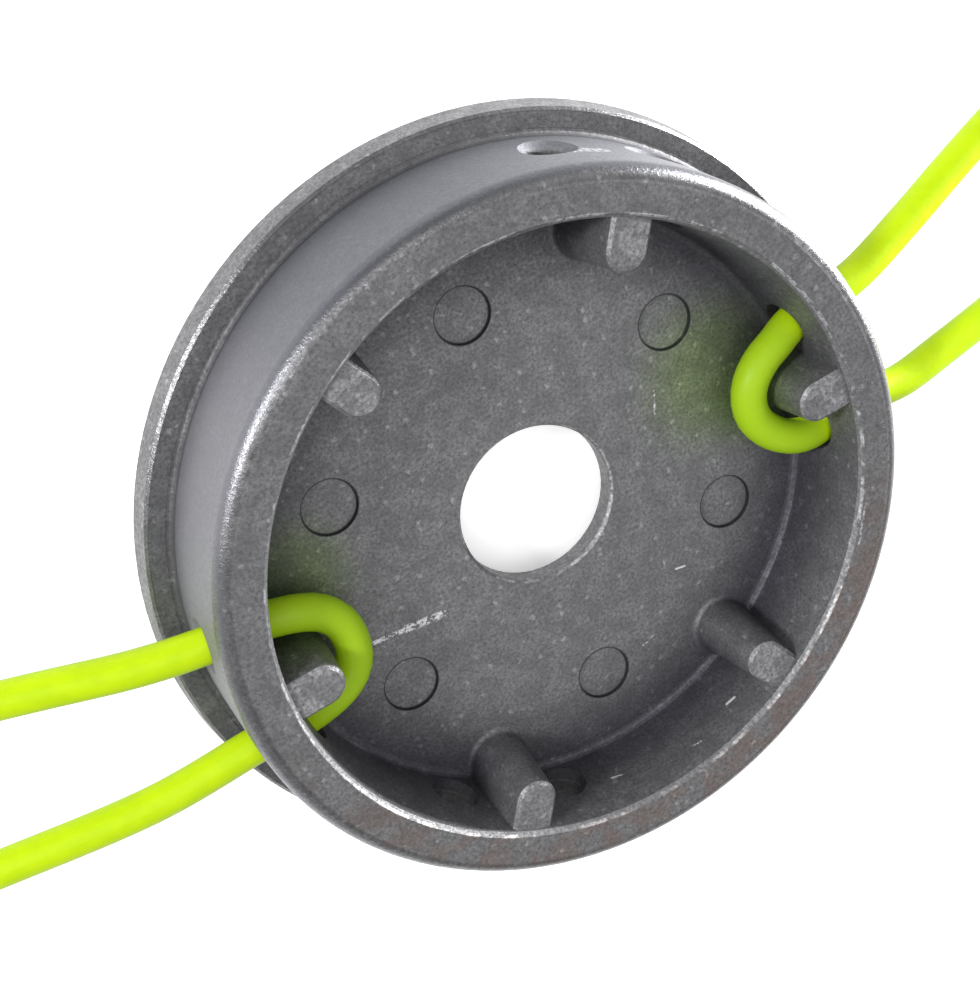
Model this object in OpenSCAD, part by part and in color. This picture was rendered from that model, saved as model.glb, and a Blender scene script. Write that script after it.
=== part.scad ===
// Multi-line trimmer head: a round cast cup with six posts inside it, held on its arbor by the centre bore.
// The back of the flange lies on z = 0, the open cup faces up, and the bore is the Z axis.
// A line goes in through one slanted hole, round the post beside it, and out through the next hole.

/* [Cup] */
// Outer diameter of the drum and its rim
drum_d = 65; // [63:0.5:80]
// Height from the back of the flange to the rim face
head_h = 15.2; // [14:0.1:22]
// Wall thickness at the rim face
rim_t = 4.4; // [3.6:0.1:5]
// Wall thickness where the wall meets the floor
root_t = 5.3; // [4.4:0.1:6]
// Radius on the outer edge of the rim
rim_round = 1.5; // [0.5:0.1:2]
// Bevel on the inner edge of the rim
rim_bevel = 0.4; // [0.2:0.05:0.8]

/* [Flange] */
// How far the flange stands out from the drum
flange_w = 2.7; // [1.5:0.1:12]
// Thickness of the flange
flange_t = 2.6; // [1.6:0.1:3]
// How much the flange edge draws in from back to front
flange_draft = 0.3; // [0:0.05:0.5]
// Bevel on the front edge of the flange
flange_bevel = 0.3; // [0.1:0.05:0.6]
// Fillet between the drum and the flange
drum_fillet = 0.6; // [0.2:0.1:1.2]

/* [Floor] */
// Thickness of the floor plate
floor_t = 2.3; // [1.6:0.1:3]
// Depth of the recess in the back
recess_h = 3.6; // [3:0.1:4.5]
// Diameter of the recess in the back
recess_d = 48; // [34:0.5:50]
// How much the recess narrows towards its floor, on the radius
recess_draft = 0.4; // [0:0.1:0.6]
// Fillet between the wall and the floor
floor_fillet = 0.7; // [0.3:0.1:1.2]

/* [Arbor bore] */
// Diameter of the central bore
bore_d = 14.8; // [10:0.1:20]
// Bevel on each edge of the bore
bore_bevel = 0.3; // [0.1:0.05:0.5]

/* [Posts] */
// Distance from the foot of the wall to the centre of a post's round nose
post_reach = 2; // [1.5:0.1:3]
// Width of a post at its tip
post_tip_w = 3.8; // [3:0.1:4]
// Width of a post at the floor
post_base_w = 5.2; // [4.2:0.1:5.4]
// How far the tips stop below the rim face
post_drop = 0.6; // [0.2:0.1:2]
// Bevel round the tip of a post
post_bevel = 0.3; // [0.1:0.05:0.5]
// Fillet round the foot of a post
post_fillet = 0.5; // [0.2:0.1:0.8]

/* [Line holes] */
// Diameter of a line hole
hole_d = 4.5; // [3.9:0.1:4.8]
// Sideways distance from the middle of a post to its line holes
hole_offset = 5.5; // [5.3:0.1:6.2]
// Height of a line hole above the floor, at the middle of the wall
hole_rise = 2.5; // [2.4:0.1:3.4]
// Angle that a line hole falls towards the outside
hole_tilt = 10; // [4:1:14]
// Bevel on the outer mouth of a line hole
hole_bevel = 0.3; // [0.1:0.05:0.5]

/* [Ejector marks] */
// Radius of the circle that the marks lie on
mark_r = 19.8; // [15:0.1:21]
// Diameter of a mark
mark_d = 5.2; // [3:0.1:5.6]
// Depth of a mark
mark_h = 0.3; // [0.1:0.05:0.8]

/* [Line] */
// Diameter of the cutting line
line_d = 3.3; // [2.4:0.1:3.4]

/* [Hidden] */
$fn = 96;

// Posts and marks stand in six equal steps, the marks midway between the posts.
steps = 6;
step_a = 360 / steps;
// Steps that carry a pair of line holes: the two threaded posts and two spare ones.
holed_steps = [0, 1, 3, 4];
// Cutters run this far past what they cut.
past = 1;

drum_r = drum_d / 2;
flange_r = drum_r + flange_w;
bore_r = bore_d / 2;
floor_z = recess_h + floor_t;
rim_r = drum_r - rim_t;
root_r = drum_r - root_t;
recess_r = recess_d / 2;
post_r = root_r - post_reach;
post_h = head_h - post_drop - floor_z;
hole_r = hole_d / 2;
hole_x = drum_r - root_t / 2;
hole_z = floor_z + hole_rise;
// Where the axis of a line hole comes out through the drum.
mouth_x = sqrt(drum_r * drum_r - hole_offset * hole_offset);

// Each route runs from one cut end of the line to the other, round its post.
left_route = [
    [-116, 20.5, 1.7], [-106, 20, 1.7], [-96, 18.9, 1.7], [-86, 17.4, 1.8], [-76, 15.5, 2.2],
    [-66, 13.2, 3.2], [-56, 10.8, 4.6], [-45.9, 8.3, 6.1], [-37.6, 6.2, 7.3], [-32, 5.3, 8],
    [-27.4, 5.2, 8.8], [-25.4, 4.9, 9.2], [-23.6, 4.3, 9.4], [-22.1, 3.3, 9.4], [-21.1, 1.8, 9.4],
    [-20.8, 0, 9.4], [-21.1, -1.8, 9.4], [-22.1, -3.3, 9.4], [-23.6, -4.2, 9.4], [-25.4, -4.8, 9.2],
    [-27.4, -5.3, 8.8], [-32, -5.8, 8], [-41.6, -6.5, 7], [-54.9, -5.4, 5.6], [-66, -4.2, 4.2],
    [-76, -2.9, 2.9], [-86, -1.5, 2], [-96, 0, 1.7], [-106, 1.4, 1.7], [-116, 2.6, 1.7]
];
right_route = [
    [116, 24.4, 1.7], [106, 22.9, 1.7], [96, 21, 1.7], [86, 18.9, 1.7], [76, 16.5, 2],
    [66, 13.8, 2.8], [57, 11.3, 3.9], [49.8, 9.3, 5], [42.9, 7.3, 6.2], [36, 5.6, 7.4],
    [32, 5.3, 8], [27.4, 5.2, 8.9], [25.2, 4.6, 9.5], [23.2, 3.9, 9.8], [21.6, 2.6, 9.9],
    [20.8, 0.9, 9.9], [20.8, -1, 9.9], [21.7, -2.8, 9.9], [23.3, -4.4, 9.8], [25.2, -5.4, 9.5],
    [27.4, -5.8, 8.9], [32, -5.9, 8], [37.2, -7, 7.4], [42.9, -6.7, 6.8], [52, -5.9, 5.8],
    [62, -5, 4.6], [72, -4.1, 3.4], [82, -3.4, 2.4], [92, -3, 1.8], [104, -2.9, 1.7], [116, -3.2, 1.7]
];

function unit(v) = v / norm(v);
function ahead(p, i) = unit(p[min(i + 1, len(p) - 1)] - p[max(i - 1, 0)]);
function across(t) = unit(cross(t, [0, 0, 1]));
function ring(c, t, r, n) = [
    for (k = [0 : n - 1])
        c + r * cos(360 * k / n) * across(t) + r * sin(360 * k / n) * cross(across(t), t)
];

// A round line of diameter d swept along the points of a route, with n sides.
module sweep(route, d, n = 8) {
    last = len(route) - 1;
    polyhedron(
        points = [for (i = [0 : last]) each ring(route[i], ahead(route, i), d / 2, n)],
        faces = concat(
            [[for (k = [n - 1 : -1 : 0]) k]],
            [for (i = [0 : last - 1], k = [0 : n - 1])
                [i * n + (k + 1) % n, (i + 1) * n + (k + 1) % n, (i + 1) * n + k, i * n + k]],
            [[for (k = [0 : n - 1]) last * n + k]]
        )
    );
}

// Points of a concave quarter fillet of radius r in the corner at x, z, from the floor up to the wall.
function foot(x, z, r, n = 4) = [
    for (k = [0 : n]) [x + r - r * sin(90 * k / n), z + r - r * cos(90 * k / n)]
];

// Half outline of the flange and drum, from the axis outwards.
module shell_outline() {
    polygon(concat(
        [[0, 0], [flange_r, 0], [flange_r - flange_draft, flange_t - flange_bevel]],
        [[flange_r - flange_draft - flange_bevel, flange_t]],
        foot(drum_r, flange_t, drum_fillet),
        [[drum_r, head_h - rim_round], [drum_r - rim_round, head_h], [0, head_h]]
    ));
    translate([drum_r - rim_round, head_h - rim_round]) circle(rim_round);
}

// Half outline of the open cavity, with its drafted wall.
module cavity_outline() {
    f = floor_fillet;
    polygon(concat(
        [[-past, floor_z]],
        [for (a = [0 : 22.5 : 90]) [root_r - f + f * sin(a), floor_z + f - f * cos(a)]],
        [[rim_r, head_h - rim_bevel], [rim_r + rim_bevel, head_h]],
        [[rim_r + rim_bevel, head_h + past], [-past, head_h + past]]
    ));
}

// Half outline of the recess in the back and of the bore, with their bevels.
module bore_outline() {
    b = bore_bevel;
    polygon([
        [-past, -past], [recess_r, -past], [recess_r, 0], [recess_r - recess_draft, recess_h],
        [bore_r + b, recess_h], [bore_r, recess_h + b], [bore_r, floor_z - b],
        [bore_r + b, floor_z], [bore_r + b, floor_z + past], [-past, floor_z + past]
    ]);
}

// A drafted post with a round nose towards the axis and a web of the same width into the wall.
module post() {
    side = concat(
        [[post_base_w / 2 + post_fillet, -past]],
        foot(post_base_w / 2, 0, post_fillet),
        [[post_tip_w / 2, post_h - post_bevel], [post_tip_w / 2 - post_bevel, post_h]]
    );
    far_side = [for (i = [len(side) - 1 : -1 : 0]) [-side[i].x, side[i].y]];
    translate([post_r, 0, floor_z]) {
        rotate([0, 0, 90]) rotate_extrude(angle = 180)
            polygon(concat([[0, -past]], side, [[0, post_h]]));
        rotate([90, 0, 90]) linear_extrude(drum_r - rim_t / 2 - post_r)
            polygon(concat(side, far_side));
    }
}

// Cutter for one line hole, falling outwards, with a bevel at its outer mouth.
module line_hole(side) {
    inner = hole_x - sqrt(pow(root_r, 2) - pow(hole_offset + hole_r, 2)) + past;
    outer = drum_r - hole_x + past;
    mouth = (mouth_x - hole_x) / cos(hole_tilt);
    translate([hole_x, side * hole_offset, hole_z]) rotate([0, 90 + hole_tilt, 0]) {
        translate([0, 0, -inner]) cylinder(r = hole_r, h = inner + outer);
        translate([0, 0, mouth - hole_bevel])
            cylinder(r1 = hole_r, r2 = hole_r + hole_bevel + past, h = hole_bevel + past);
    }
}

module head_casting() {
    color("#8e8f93") difference() {
        union() {
            rotate_extrude() difference() {
                shell_outline();
                cavity_outline();
                bore_outline();
            }
            for (i = [0 : steps - 1]) rotate(i * step_a) post();
        }
        for (i = holed_steps, side = [-1, 1]) rotate(i * step_a) line_hole(side);
        for (i = [0 : steps - 1]) rotate((i + 0.5) * step_a)
            translate([mark_r, 0, floor_z - mark_h]) cylinder(d = mark_d, h = mark_h + past);
    }
}

module line_left() {
    color("#c6ee10") sweep(left_route, line_d);
}

module line_right() {
    color("#c6ee10") sweep(right_route, line_d);
}

head_casting();
line_left();
line_right();
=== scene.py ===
import math

import bpy
from mathutils import Matrix, Vector


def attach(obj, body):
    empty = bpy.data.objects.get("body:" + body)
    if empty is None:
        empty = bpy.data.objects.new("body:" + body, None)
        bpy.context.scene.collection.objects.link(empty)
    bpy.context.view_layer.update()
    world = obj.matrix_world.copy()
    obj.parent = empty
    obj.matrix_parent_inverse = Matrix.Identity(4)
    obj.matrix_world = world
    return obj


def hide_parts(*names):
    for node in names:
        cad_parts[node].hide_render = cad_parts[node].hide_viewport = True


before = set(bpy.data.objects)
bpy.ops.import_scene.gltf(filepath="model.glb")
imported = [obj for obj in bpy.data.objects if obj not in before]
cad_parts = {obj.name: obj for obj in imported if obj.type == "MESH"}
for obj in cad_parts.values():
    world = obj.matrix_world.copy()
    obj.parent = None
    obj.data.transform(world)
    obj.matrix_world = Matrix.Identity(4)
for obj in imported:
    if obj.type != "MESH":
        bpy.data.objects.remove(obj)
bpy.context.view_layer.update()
scene = bpy.context.scene
print("frame loaded:", sorted(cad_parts))


# Camera, where the photograph was taken from: close to the head, looking down into the cup

camera = {
    "place": (-0.03938, 0.08413, 0.14604),
    "right": (0.85079, -0.33148, 0.40776),
    "up": (0.47888, 0.80857, -0.34188),
    "focalPixels": 1875.27,
    "imageWidth": 980,
    "sensor": 36.0,
}


def addCamera(spec):
    right, up = Vector(spec["right"]).normalized(), Vector(spec["up"]).normalized()
    back = right.cross(up)
    up = back.cross(right)
    turn = Matrix((right, up, back)).transposed().to_4x4()
    data = bpy.data.cameras.new("photoCamera")
    data.sensor_fit = "HORIZONTAL"
    data.sensor_width = spec["sensor"]
    data.lens = spec["focalPixels"] / spec["imageWidth"] * spec["sensor"]
    data.clip_start = 0.01
    obj = bpy.data.objects.new("photoCamera", data)
    scene.collection.objects.link(obj)
    obj.matrix_world = Matrix.Translation(spec["place"]) @ turn
    scene.camera = obj
    return obj


addCamera(camera)
print("camera set")


# Small helpers for node trees


def addNode(tree, kind, inputs=None, **settings):
    node = tree.nodes.new(kind)
    for name, value in settings.items():
        setattr(node, name, value)
    for name, value in (inputs or {}).items():
        socket = node.inputs[name]
        if isinstance(value, bpy.types.NodeSocket):
            tree.links.new(value, socket)
        else:
            socket.default_value = value
    return node


def mathNode(tree, operation, a, b=0.0, clamp=False):
    return addNode(tree, "ShaderNodeMath", {0: a, 1: b}, operation=operation, use_clamp=clamp).outputs[0]


def mixColour(tree, factor, a, b, blend="MIX"):
    node = addNode(tree, "ShaderNodeMix", {0: factor, 6: a, 7: b}, data_type="RGBA", blend_type=blend)
    return node.outputs[2]


def remap(tree, value, low, high, toLow=0.0, toHigh=1.0, smooth=True):
    kind = "SMOOTHSTEP" if smooth else "LINEAR"
    limits = {0: value, 1: low, 2: high, 3: toLow, 4: toHigh}
    return addNode(tree, "ShaderNodeMapRange", limits, interpolation_type=kind).outputs[0]


def vectorNode(tree, operation, a, b):
    second = "Scale" if operation == "SCALE" else 1
    node = addNode(tree, "ShaderNodeVectorMath", {0: a, second: b}, operation=operation)
    return node.outputs["Value" if operation in ("DISTANCE", "DOT_PRODUCT", "LENGTH") else "Vector"]


def spanLength(tree, a, b):
    square = mathNode(tree, "ADD", mathNode(tree, "MULTIPLY", a, a), mathNode(tree, "MULTIPLY", b, b))
    return mathNode(tree, "SQRT", square)


def newMaterial(name):
    mat = bpy.data.materials.new(name)
    mat.use_nodes = True
    mat.node_tree.nodes.clear()
    return mat, mat.node_tree


def between(tree, value, low, high, soft):
    # One inside the band, falling off over the soft width on each side
    rise = remap(tree, value, low - soft, low)
    fall = remap(tree, value, high, high + soft, 1.0, 0.0)
    return mathNode(tree, "MULTIPLY", rise, fall)


def partPlace(tree):
    # Place on the part in millimetres, with its distance and angle from the bore axis
    where = addNode(tree, "ShaderNodeTexCoord").outputs["Object"]
    scaled = vectorNode(tree, "SCALE", where, 1000.0)
    split = addNode(tree, "ShaderNodeSeparateXYZ", {0: scaled})
    x, y, z = split.outputs
    radius = spanLength(tree, x, y)
    angle = mathNode(tree, "ARCTAN2", y, x)
    return {"vector": scaled, "y": y, "z": z, "radius": radius, "angle": angle}


def grainGroup():
    # Fine speckle and slow blotches, shared by the casting and the lines
    tree = bpy.data.node_groups.new("surfaceGrain", "ShaderNodeTree")
    sockets = (("Vector", "INPUT", "Vector"), ("Density", "INPUT", "Float"), ("Speckle", "OUTPUT", "Float"))
    for name, flow, kind in sockets + (("Pits", "OUTPUT", "Float"), ("Blotch", "OUTPUT", "Float")):
        tree.interface.new_socket(name=name, in_out=flow, socket_type="NodeSocket" + kind)
    given = addNode(tree, "NodeGroupInput")
    sized = vectorNode(tree, "SCALE", given.outputs["Vector"], given.outputs["Density"])
    fineLooks = {"Vector": sized, "Scale": 3.2, "Detail": 4.0, "Roughness": 0.7}
    fine = addNode(tree, "ShaderNodeTexNoise", fineLooks)
    slow = addNode(tree, "ShaderNodeTexNoise", {"Vector": sized, "Scale": 0.5, "Detail": 4.0})
    bent = vectorNode(tree, "ADD", sized, vectorNode(tree, "SCALE", fine.outputs["Color"], 1.1))
    cells = addNode(tree, "ShaderNodeTexVoronoi", {"Vector": bent, "Scale": 1.1})
    pick = addNode(tree, "ShaderNodeSeparateColor", {0: cells.outputs["Color"]}).outputs[0]
    chosen = remap(tree, pick, 0.72, 0.8)
    pits = mathNode(tree, "MULTIPLY", chosen, remap(tree, cells.outputs["Distance"], 0.08, 0.34, 1.0, 0.0))
    result = addNode(tree, "NodeGroupOutput")
    speckle = remap(tree, fine.outputs["Fac"], 0.32, 0.7, smooth=False)
    tree.links.new(speckle, result.inputs["Speckle"])
    tree.links.new(pits, result.inputs["Pits"])
    tree.links.new(remap(tree, slow.outputs["Fac"], 0.38, 0.62), result.inputs["Blotch"])
    return tree


surfaceGrain = grainGroup()


def addGrain(tree, vector, density):
    node = addNode(tree, "ShaderNodeGroup", node_tree=surfaceGrain)
    tree.links.new(vector, node.inputs["Vector"])
    node.inputs["Density"].default_value = density
    return node.outputs


def addBump(tree, shader, height, strength, depth):
    bump = addNode(tree, "ShaderNodeBump", {"Strength": strength, "Distance": depth, "Height": height})
    tree.links.new(bump.outputs[0], shader.inputs["Normal"])


# Cutting lines: one length each, in through a hole, round a post and out again

cuttingLine = {
    "diameter": 0.0033,
    "ringGap": 0.0009,
    "colour": (0.38, 0.53, 0.001, 1.0),
    "edgeColour": (0.21, 0.38, 0.001, 1.0),
    "shadeColour": (0.21, 0.35, 0.012, 1.0),
    "cupRadius": 28.0,
    "roughness": 0.42,
    "specular": 0.14,
    "glow": 0.05,
    "grainDensity": 1.0,
}

leftRoute = [
    (-116, 20.5, 1.7), (-106, 20, 1.7), (-96, 18.9, 1.7), (-86, 17.4, 1.8), (-76, 15.5, 2.2),
    (-66, 13.2, 3.2), (-56, 10.8, 4.6), (-45.9, 8.3, 6.1), (-37.6, 6.2, 7.3), (-32, 5.3, 8),
    (-27.4, 5.2, 8.8), (-25.4, 4.9, 9.2), (-23.6, 4.3, 9.4), (-22.1, 3.3, 9.4), (-21.1, 1.8, 9.4),
    (-20.8, 0, 9.4), (-21.1, -1.8, 9.4), (-22.1, -3.3, 9.4), (-23.6, -4.2, 9.4), (-25.4, -4.8, 9.2),
    (-27.4, -5.3, 8.8), (-32, -5.8, 8), (-41.6, -6.5, 7), (-54.9, -5.4, 5.6), (-66, -4.2, 4.2),
    (-76, -2.9, 2.9), (-86, -1.5, 2), (-96, 0, 1.7), (-106, 1.4, 1.7), (-116, 2.6, 1.7),
]
rightRoute = [
    (116, 24.4, 1.7), (106, 22.9, 1.7), (96, 21, 1.7), (86, 18.9, 1.7), (76, 16.5, 2),
    (66, 13.8, 2.8), (57, 11.3, 3.9), (49.8, 9.3, 5), (42.9, 7.3, 6.2), (36, 5.6, 7.4),
    (32, 5.3, 8), (27.4, 5.2, 8.9), (25.2, 4.6, 9.5), (23.2, 3.9, 9.8), (21.6, 2.6, 9.9),
    (20.8, 0.9, 9.9), (20.8, -1, 9.9), (21.7, -2.8, 9.9), (23.3, -4.4, 9.8), (25.2, -5.4, 9.5),
    (27.4, -5.8, 8.9), (32, -5.9, 8), (37.2, -7, 7.4), (42.9, -6.7, 6.8), (52, -5.9, 5.8),
    (62, -5, 4.6), (72, -4.1, 3.4), (82, -3.4, 2.4), (92, -3, 1.8), (104, -2.9, 1.7), (116, -3.2, 1.7),
]


def smoothPath(points, gap):
    # Centripetal Catmull-Rom through the route's points, then evenly spaced
    pts = [Vector(p) * 0.001 for p in points]
    ends = [pts[0] * 2 - pts[1]] + pts + [pts[-1] * 2 - pts[-2]]
    fine = []
    for a, b, c, d in zip(ends, ends[1:], ends[2:], ends[3:]):
        t0 = 0.0
        t1 = t0 + math.sqrt((b - a).length)
        t2 = t1 + math.sqrt((c - b).length)
        t3 = t2 + math.sqrt((d - c).length)
        for k in range(24):
            t = t1 + (t2 - t1) * k / 24
            a1 = a * ((t1 - t) / (t1 - t0)) + b * ((t - t0) / (t1 - t0))
            a2 = b * ((t2 - t) / (t2 - t1)) + c * ((t - t1) / (t2 - t1))
            a3 = c * ((t3 - t) / (t3 - t2)) + d * ((t - t2) / (t3 - t2))
            b1 = a1 * ((t2 - t) / (t2 - t0)) + a2 * ((t - t0) / (t2 - t0))
            b2 = a2 * ((t3 - t) / (t3 - t1)) + a3 * ((t - t1) / (t3 - t1))
            fine.append(b1 * ((t2 - t) / (t2 - t1)) + b2 * ((t - t1) / (t2 - t1)))
    fine.append(pts[-1])
    run = [0.0]
    for a, b in zip(fine, fine[1:]):
        run.append(run[-1] + (b - a).length)
    count = round(run[-1] / gap)
    even, k = [], 0
    for i in range(count + 1):
        want = run[-1] * i / count
        while k < len(run) - 2 and run[k + 1] < want:
            k += 1
        even.append(fine[k].lerp(fine[k + 1], (want - run[k]) / (run[k + 1] - run[k])))
    return even, run[-1]


def lineMaterial(spec):
    mat, tree = newMaterial("fluorescentNylon")
    place = partPlace(tree)
    grain = addGrain(tree, place["vector"], spec["grainDensity"])
    # Painted shade: darker inside the cup, and deeper where the round turns away
    inCupShade = remap(tree, place["radius"], spec["cupRadius"] - 2.0, spec["cupRadius"] + 1.0, 0.75, 0.0)
    colour = mixColour(tree, inCupShade, spec["colour"], spec["shadeColour"])
    facing = addNode(tree, "ShaderNodeLayerWeight", {"Blend": 0.35}).outputs["Facing"]
    colour = mixColour(tree, remap(tree, facing, 0.25, 0.95, 0.0, 0.7), colour, spec["edgeColour"])
    colour = mixColour(tree, mathNode(tree, "MULTIPLY", grain["Blotch"], 0.16), colour, spec["edgeColour"])
    shader = addNode(
        tree,
        "ShaderNodeBsdfPrincipled",
        {
            "Base Color": colour,
            "Emission Color": colour,
            "Emission Strength": spec["glow"],
            "Roughness": spec["roughness"],
            "Specular IOR Level": spec["specular"],
            "Subsurface Weight": 0.2,
            "Subsurface Radius": (0.8, 1.0, 0.1),
            "Subsurface Scale": 0.001,
        },
    )
    addBump(tree, shader, grain["Speckle"], 0.18, 0.00005)
    out = addNode(tree, "ShaderNodeOutputMaterial")
    tree.links.new(shader.outputs[0], out.inputs[0])
    return mat


def addLine(name, route, node, spec, mat):
    path, length = smoothPath(route, spec["ringGap"])
    curve = bpy.data.curves.new(name, "CURVE")
    curve.dimensions = "3D"
    spline = curve.splines.new("POLY")
    spline.points.add(len(path) - 1)
    for point, p in zip(spline.points, path):
        point.co = (*p, 1.0)
    curve.bevel_depth = spec["diameter"] / 2
    curve.bevel_resolution = 6
    curve.use_fill_caps = True
    obj = bpy.data.objects.new(name, curve)
    scene.collection.objects.link(obj)
    curve.materials.append(mat)
    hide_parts(node)
    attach(obj, "root")
    print(name, "length", round(length, 4))
    return obj


nylon = lineMaterial(cuttingLine)
addLine("lineLeft", leftRoute, "line_left", cuttingLine, nylon)
addLine("lineRight", rightRoute, "line_right", cuttingLine, nylon)


# The casting keeps its CAD shape and gets the look of dull die-cast aluminium

casting = {
    "dark": (0.085, 0.085, 0.089, 1.0),
    "light": (0.235, 0.235, 0.243, 1.0),
    "sideColour": (0.150, 0.149, 0.168, 1.0),
    # painted shade on the drum's side towards +Y
    "shadedTopSideColour": (0.095, 0.098, 0.113, 1.0),
    # painted shade inside the line holes
    "holeShadeTint": (0.35, 0.35, 0.36, 1.0),
    "flangeTint": (0.72, 0.72, 0.73, 1.0),
    # painted shade in the flange's corner with the drum
    "filletShadeTint": (0.5, 0.5, 0.51, 1.0),
    "rimTint": (0.82, 0.82, 0.82, 1.0),
    # painted shade towards the corner of wall and floor
    "cornerShadeTint": (0.34, 0.33, 0.385, 1.0),
    # painted green light reflected from the lines
    "greenBounceTint": (0.86, 1.3, 0.24, 1.0),
    "warmTint": (1.25, 1.02, 0.92, 1.0),
    "bareMetal": (0.62, 0.62, 0.64, 1.0),
    "outline": (0.015, 0.015, 0.017, 1.0),
    "metallic": 0.5,
    "roughness": 0.5,
    "grainDensity": 1.0,
}

# Sizes in millimetres that place marks, wear and painted shade on the casting
cast = {
    "drumRadius": 32.5,
    "rimInner": 28.3,
    "wallRadius": 27.2,
    "flangeTop": 2.6,
    "flangeFace": 34.6,
    "tipHeight": 14.6,
    "tipReach": 27.9,
    "holeLow": 5.5,
    "holeHigh": 12.0,
    "rimRound": 1.5,
    # where painted shade darkens the drum's side towards +Y
    "sideShadeFrom": 22.0,
    "sideShadeTo": 31.0,
    "warmTo": -22.0,
    "floorHeight": 5.9,
    "rimHeight": 15.2,
    "boreRadius": 7.7,
    "markCircle": 19.8,
    "markRadius": 2.6,
    "markStep": math.radians(60),
}

# Places on the floor beside the lines, painted with green light reflected from the lines, with the reach of
# each
greenBounceSpots = [(20.0, 3.2, 5.9, 9.5), (-23.0, 5.5, 5.9, 7.5), (23.5, -1.5, 8.0, 6.5), (-24.5, 1.0, 8.0, 6.0)]

scratches = [
    {"start": (-18.6, -4.1, 5.9), "end": (-15.2, -4.6, 5.9), "width": 0.3, "hatch": 3.1},
    {"start": (-15.6, -4.5, 5.9), "end": (-11.7, -5.1, 5.9), "width": 0.5, "hatch": 4.3},
    {"start": (10.3, -13.7, 5.9), "end": (11.2, -13.9, 5.9), "width": 0.14, "hatch": 0.0},
    {"start": (-4.4, -27.3, 10.6), "end": (4.4, -27.5, 12.6), "width": 0.16, "hatch": 2.5},
    {"start": (8.6, -26.3, 11.3), "end": (9.5, -26.1, 11.4), "width": 0.2, "hatch": 0.0},
    {"start": (12.6, 29.9, 9.4), "end": (15.3, 28.7, 9.4), "width": 1.1, "hatch": 9.0, "strength": 0.45},
    {"start": (26.2, -12.0, 15.2), "end": (24.6, -15.2, 15.2), "width": 0.16, "hatch": 2.2, "strength": 0.5},
    {"start": (4.6, -19.4, 5.9), "end": (6.3, -18.9, 5.9), "width": 0.12, "hatch": 3.0},
    {"start": (13.4, 2.2, 5.9), "end": (14.1, 4.4, 5.9), "width": 0.12, "hatch": 3.0},

]


def markOutline(tree, place, spec):
    # Thin dark ring round each ejector mark, all six folded into one step
    turned = mathNode(tree, "FLOORED_MODULO", place["angle"], spec["markStep"])
    local = mathNode(tree, "SUBTRACT", turned, spec["markStep"] / 2)
    along = mathNode(tree, "MULTIPLY", place["radius"], mathNode(tree, "COSINE", local))
    along = mathNode(tree, "SUBTRACT", along, spec["markCircle"])
    aside = mathNode(tree, "MULTIPLY", place["radius"], mathNode(tree, "SINE", local))
    away = spanLength(tree, along, aside)
    ring = between(tree, away, spec["markRadius"] - 0.06, spec["markRadius"] + 0.03, 0.1)
    onFloor = remap(tree, place["z"], spec["floorHeight"] + 0.1, spec["floorHeight"] + 0.4, 1.0, 0.0)
    return mathNode(tree, "MULTIPLY", ring, onFloor)


def scratchMask(tree, place, grain, spec):
    # Distance from the stroke, broken up by fine hatching across it
    start, end = Vector(spec["start"]), Vector(spec["end"])
    run = end - start
    offset = vectorNode(tree, "SUBTRACT", place["vector"], start)
    along = vectorNode(tree, "DOT_PRODUCT", offset, run / run.length_squared)
    share = mathNode(tree, "MINIMUM", mathNode(tree, "MAXIMUM", along, 0.0), 1.0)
    away = vectorNode(tree, "DISTANCE", offset, vectorNode(tree, "SCALE", run, share))
    mask = remap(tree, away, spec["width"] * 0.4, spec["width"], spec.get("strength", 1.0), 0.0)
    if spec["hatch"]:
        wave = mathNode(tree, "SINE", mathNode(tree, "MULTIPLY", along, spec["hatch"] * run.length))
        rough = mathNode(tree, "ADD", mathNode(tree, "MULTIPLY", wave, 0.14), grain["Speckle"])
        mask = mathNode(tree, "MULTIPLY", mask, remap(tree, rough, 0.36, 0.6))
    return mask


def wornAndHighlightEdges(tree, place, grain, spec):
    # Rings where handling has rubbed the cast skin to bare metal, lightened also as painted edge highlights
    rings = [
        (spec["rimInner"] + 0.05, spec["rimInner"] + 0.22, spec["rimHeight"] - 0.5),
        (spec["boreRadius"] - 0.3, spec["boreRadius"] - 0.1, spec["floorHeight"] - 0.3),
    ]
    total = None
    for low, high, level in rings:
        band = between(tree, place["radius"], low, high, 0.1)
        ring = mathNode(tree, "MULTIPLY", band, remap(tree, place["z"], level, level + 0.15))
        total = ring if total is None else mathNode(tree, "MAXIMUM", total, ring)
    # Post tips sit just below the rim and are rubbed too, with a painted highlight on them
    tip = between(tree, place["z"], spec["tipHeight"] - 0.25, spec["tipHeight"] + 0.05, 0.06)
    onPost = remap(tree, place["radius"], spec["tipReach"] - 0.3, spec["tipReach"], 0.5, 0.0)
    tip = mathNode(tree, "MULTIPLY", tip, onPost)
    total = mathNode(tree, "MAXIMUM", total, tip)
    patchy = mathNode(tree, "MULTIPLY", remap(tree, grain["Blotch"], 0.3, 0.9, 0.0, 0.7), grain["Speckle"])
    return mathNode(tree, "MULTIPLY", total, patchy)


def rubbedEdge(tree, place, sizes):
    # The round of the rim and the flange's bevel, rubbed smoother than the faces beside them
    bevel = between(tree, place["radius"], sizes["flangeFace"] - 0.02, sizes["flangeFace"] + 0.32, 0.05)
    bevel = mathNode(tree, "MULTIPLY", bevel, between(tree, place["z"], sizes["flangeTop"] - 0.34, 2.7, 0.04))
    curve = sizes["rimRound"]
    outer = remap(tree, place["radius"], sizes["drumRadius"] - curve, sizes["drumRadius"] - curve + 0.4)
    upper = remap(tree, place["z"], sizes["rimHeight"] - curve, sizes["rimHeight"] - curve + 0.4)
    return mathNode(tree, "MAXIMUM", mathNode(tree, "MULTIPLY", outer, upper), bevel)


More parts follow.
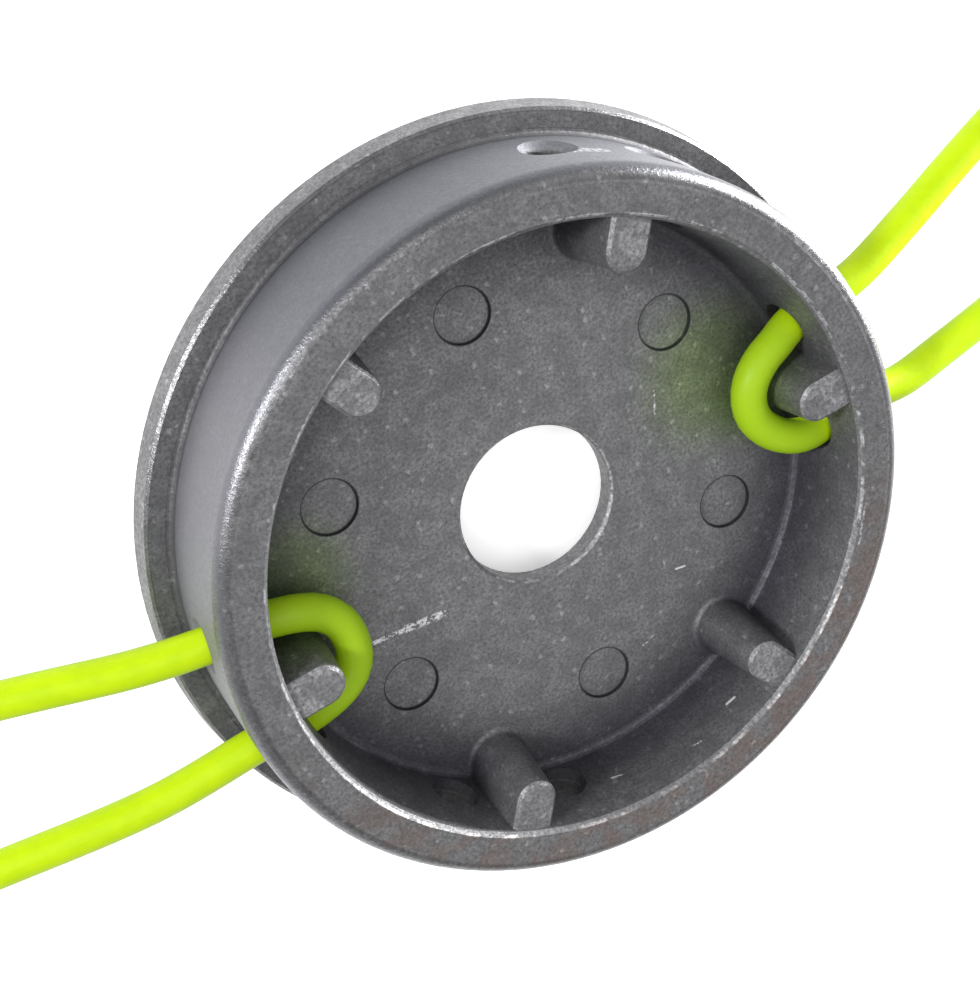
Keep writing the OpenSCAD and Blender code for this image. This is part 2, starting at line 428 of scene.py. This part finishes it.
def castingColour(tree, place, grain, spec, sizes):
    # From the cast skin outwards: each step tints or covers the one before it
    skin = mixColour(tree, grain["Speckle"], spec["dark"], spec["light"])
    skin = mixColour(tree, mathNode(tree, "MULTIPLY", grain["Blotch"], 0.4), skin, spec["dark"])
    skin = mixColour(tree, mathNode(tree, "MULTIPLY", grain["Pits"], 0.3), skin, spec["bareMetal"])
    # The outside of the drum came from a smoother part of the die; its side towards +Y is darkened as painted
    # shade
    outside = remap(tree, place["radius"], sizes["drumRadius"] - 0.9, sizes["drumRadius"] - 0.2)
    aboveFlange = remap(tree, place["z"], sizes["flangeTop"] + 0.1, sizes["flangeTop"] + 0.5)
    side = mathNode(tree, "MULTIPLY", outside, mathNode(tree, "MULTIPLY", aboveFlange, 0.8))
    topSideShade = remap(tree, place["y"], sizes["sideShadeFrom"], sizes["sideShadeTo"])
    skin = mixColour(tree, side, skin, mixColour(tree, topSideShade, spec["sideColour"], spec["shadedTopSideColour"]))
    # The flange face is darker, and its corner with the drum is darker still as painted shade
    onFlange = between(tree, place["z"], 2.4, 3.3, 0.1)
    face = between(tree, place["radius"], sizes["drumRadius"] + 0.6, sizes["flangeFace"], 0.1)
    skin = mixColour(tree, mathNode(tree, "MULTIPLY", onFlange, face), skin, spec["flangeTint"], "MULTIPLY")
    root = between(tree, place["radius"], sizes["drumRadius"] + 0.02, sizes["drumRadius"] + 0.6, 0.06)
    skin = mixColour(tree, mathNode(tree, "MULTIPLY", onFlange, root), skin, spec["filletShadeTint"], "MULTIPLY")
    # Painted shade inside the line holes
    bored = between(tree, place["radius"], sizes["rimInner"] + 0.4, sizes["drumRadius"] - 0.8, 0.3)
    deep = between(tree, place["z"], sizes["holeLow"], sizes["holeHigh"], 0.4)
    bored = mathNode(tree, "MULTIPLY", bored, deep)
    skin = mixColour(tree, bored, skin, spec["holeShadeTint"], "MULTIPLY")
    # Painted shade, darker towards the corner of wall and floor
    nearWall = remap(tree, place["radius"], sizes["wallRadius"] - 9.0, sizes["wallRadius"])
    inCupShade = remap(tree, place["radius"], sizes["rimInner"] + 0.1, sizes["rimInner"] + 0.3, 1.0, 0.0)
    low = remap(tree, place["z"], sizes["floorHeight"] + 0.5, sizes["rimHeight"] + 1.0, 1.0, 0.0)
    corner = mathNode(tree, "MULTIPLY", mathNode(tree, "MULTIPLY", nearWall, inCupShade), low)
    skin = mixColour(tree, corner, skin, spec["cornerShadeTint"], "MULTIPLY")
    # Painted green reflection from the lines onto the floor beside them
    for *spot, reach in greenBounceSpots:
        away = vectorNode(tree, "DISTANCE", place["vector"], Vector(spot))
        greenBounce = remap(tree, away, reach * 0.3, reach, 0.5, 0.0)
        skin = mixColour(tree, greenBounce, skin, spec["greenBounceTint"], "MULTIPLY")
    # A warm cast on the rim face, on the side away from the holes in use
    onRim = remap(tree, place["z"], sizes["rimHeight"] - 0.2, sizes["rimHeight"] - 0.05)
    skin = mixColour(tree, onRim, skin, spec["rimTint"], "MULTIPLY")
    warm = mathNode(tree, "MULTIPLY", onRim, remap(tree, place["y"], 0.0, sizes["warmTo"], 0.0, 0.9))
    warm = mathNode(tree, "MULTIPLY", warm, grain["Blotch"])
    return mixColour(tree, warm, skin, spec["warmTint"], "MULTIPLY")


def castingMaterial(spec, sizes, strokes):
    mat, tree = newMaterial("castAluminium")
    place = partPlace(tree)
    grain = addGrain(tree, place["vector"], spec["grainDensity"])
    colour = castingColour(tree, place, grain, spec, sizes)
    outline = markOutline(tree, place, sizes)
    colour = mixColour(tree, mathNode(tree, "MULTIPLY", outline, 0.85), colour, spec["outline"])
    bare = wornAndHighlightEdges(tree, place, grain, sizes)
    for stroke in strokes:
        bare = mathNode(tree, "MAXIMUM", bare, scratchMask(tree, place, grain, stroke))
    colour = mixColour(tree, bare, colour, spec["bareMetal"])
    rough = remap(tree, grain["Speckle"], 0.0, 1.0, spec["roughness"] + 0.08, spec["roughness"] - 0.08)
    rubbed = rubbedEdge(tree, place, sizes)
    rough = mathNode(tree, "SUBTRACT", rough, mathNode(tree, "MULTIPLY", rubbed, 0.2))
    metal = remap(tree, rubbed, 0.0, 1.0, spec["metallic"], 0.92)
    looks = {"Base Color": colour, "Metallic": metal, "Roughness": rough}
    shader = addNode(tree, "ShaderNodeBsdfPrincipled", looks)
    height = mathNode(tree, "SUBTRACT", grain["Speckle"], mathNode(tree, "MULTIPLY", outline, 2.0))
    addBump(tree, shader, height, 0.35, 0.00006)
    out = addNode(tree, "ShaderNodeOutputMaterial")
    tree.links.new(shader.outputs[0], out.inputs[0])
    return mat


def dress(node, mat):
    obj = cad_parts[node]
    obj.data.materials.clear()
    obj.data.materials.append(mat)


dress("head_casting", castingMaterial(casting, cast, scratches))
print("casting dressed")


# Studio: pale floor, soft lights

studio = {
    "floorSize": 3.0,
    "floorColour": (0.9, 0.9, 0.9, 1.0),
    "floorGlow": 0.42,
    "world": (1.0, 1.0, 1.0, 1.0),
    "worldStrength": 0.75,
}

lights = {
    "overhead": {"place": (-0.1, 0.2, 0.65), "aim": (0, 0, 0), "size": (0.5, 0.5), "power": 2.0},
    "rightLow": {"place": (0.6, 0.0, 0.017), "aim": (0, 0, 0.0168), "size": (0.2, 0.03), "power": 18.0},
    "leftSoft": {"place": (-0.42, 0.32, 0.29), "aim": (0, 0, 0.01), "size": (0.1, 0.1), "power": 3.0},
}


def addFloor(spec):
    half = spec["floorSize"] / 2
    corners = [(-half, -half, 0), (half, -half, 0), (half, half, 0), (-half, half, 0)]
    mesh = bpy.data.meshes.new("paleFloor")
    mesh.from_pydata(corners, [], [(0, 1, 2, 3)])
    obj = bpy.data.objects.new("paleFloor", mesh)
    scene.collection.objects.link(obj)
    mat, tree = newMaterial("paleFloor")
    paper = {"Base Color": spec["floorColour"], "Roughness": 0.9, "Emission Color": spec["floorColour"]}
    paper["Emission Strength"] = spec["floorGlow"]
    shader = addNode(tree, "ShaderNodeBsdfPrincipled", paper)
    out = addNode(tree, "ShaderNodeOutputMaterial")
    tree.links.new(shader.outputs[0], out.inputs[0])
    mesh.materials.append(mat)


def addLights(specs):
    for name, spec in specs.items():
        data = bpy.data.lights.new(name, "AREA")
        data.shape = "RECTANGLE"
        data.size, data.size_y = spec["size"]
        data.energy = spec["power"]
        obj = bpy.data.objects.new(name, data)
        scene.collection.objects.link(obj)
        obj.location = spec["place"]
        aim = Vector(spec["aim"]) - obj.location
        obj.rotation_euler = aim.to_track_quat("-Z", "Y").to_euler()


def setWorld(spec):
    world = bpy.data.worlds.new("softRoom")
    world.use_nodes = True
    back = world.node_tree.nodes["Background"]
    back.inputs["Color"].default_value = spec["world"]
    back.inputs["Strength"].default_value = spec["worldStrength"]
    scene.world = world


addFloor(studio)
addLights(lights)
setWorld(studio)
scene.view_settings.view_transform = "Standard"
print("studio set")
